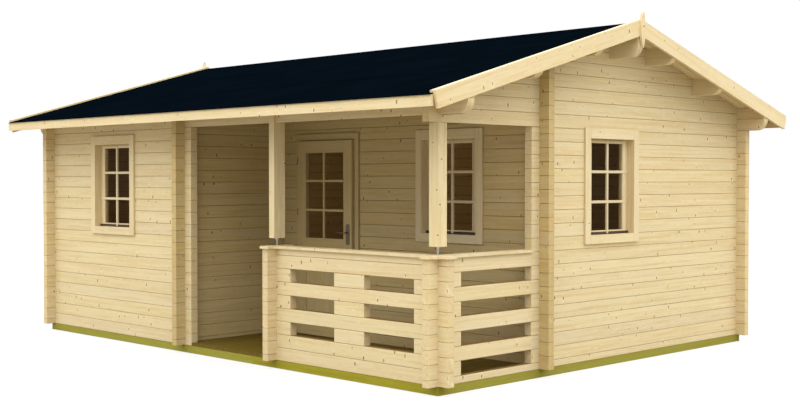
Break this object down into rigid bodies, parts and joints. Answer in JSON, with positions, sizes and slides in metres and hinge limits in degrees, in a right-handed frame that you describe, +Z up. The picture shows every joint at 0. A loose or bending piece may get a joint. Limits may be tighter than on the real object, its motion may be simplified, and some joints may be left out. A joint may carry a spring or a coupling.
{
  "type": "log cabin",
  "caption": "Small gabled log cabin with interlocking log walls, a railed corner terrace, a glazed door and windows, and a boarded roof with covering.",
  "frame": {"origin": "on the ground, at the centre of the roof's outline in plan", "axes": "+Z up, +X along the eaves towards the terrace gable, -Y towards the terrace front"},
  "size_m": [6.396, 5.214, 3.0735],
  "materials": {
    "log": "planed spruce logs",
    "planed_board": "planed spruce boards",
    "joinery": "planed spruce joinery",
    "roof_board": "tongued boards",
    "floor_board": "tongued boards",
    "treated_beam": "green pressure-treated",
    "deck_board": "green pressure-treated",
    "roof_felt": "bituminous roof covering",
    "pane": "clear glass",
    "steel": "satin",
    "galvanised": "zinc-plated"
  },
  "bodies": {
    "cabin": {"foundation_long_beams": "treated_beam", "foundation_cross_beams": "treated_beam", "foundation_terrace": "treated_beam", "floor_joists": "treated_beam", "terrace_deck": "deck_board", "cabin_floor": "floor_board", "front_wall": "log", "rear_wall": "log", "left_gable_wall": "log", "right_gable_wall": "log", "right_gable_top": "log", "terrace_side_wall": "log", "terrace_back_wall_left": "log", "terrace_back_wall_right": "log", "terrace_back_wall_top": "log", "front_eave_beam": "log", "rear_eave_beam": "log", "ridge_purlin": "log", "purlins": "log", "front_rail": "log", "rail_stub": "log", "side_rail": "log", "rail_cap": "planed_board", "entrance_post": "planed_board", "corner_post": "planed_board", "post_feet": "galvanised", "roof_boards_front": "roof_board", "roof_boards_rear": "roof_board", "roof_covering_front": "roof_felt", "roof_covering_rear": "roof_felt", "barge_boards": "planed_board", "barge_strips": "planed_board", "fascia_boards": "planed_board", "finials": "planed_board", "window_frames": "joinery", "window_sashes": "joinery", "window_glass": "pane", "door_frame": "joinery", "door_casing": "joinery", "door_hinges": "steel"},
    "door": {"door_leaf": "joinery", "door_glass": "pane", "door_hinge_leaves": "steel", "door_plates": "steel"},
    "lever": {"door_lever": "steel"}
  },
  "joints": [
    {"name": "door_swing", "type": "hinge", "parent": "cabin", "child": "door", "pos_m": [-0.1515, -1.052, 0.103], "axis": [0, 0, -1], "range_deg": [0, 100]},
    {"name": "lever_turn", "type": "hinge", "parent": "door", "child": "lever", "pos_m": [0.5915, -1.06, 1.126], "axis": [0, -1, 0], "range_deg": [0, 40], "stiffness_Nm_per_rad": 1.5, "springref_deg": -34.38}
  ]
}
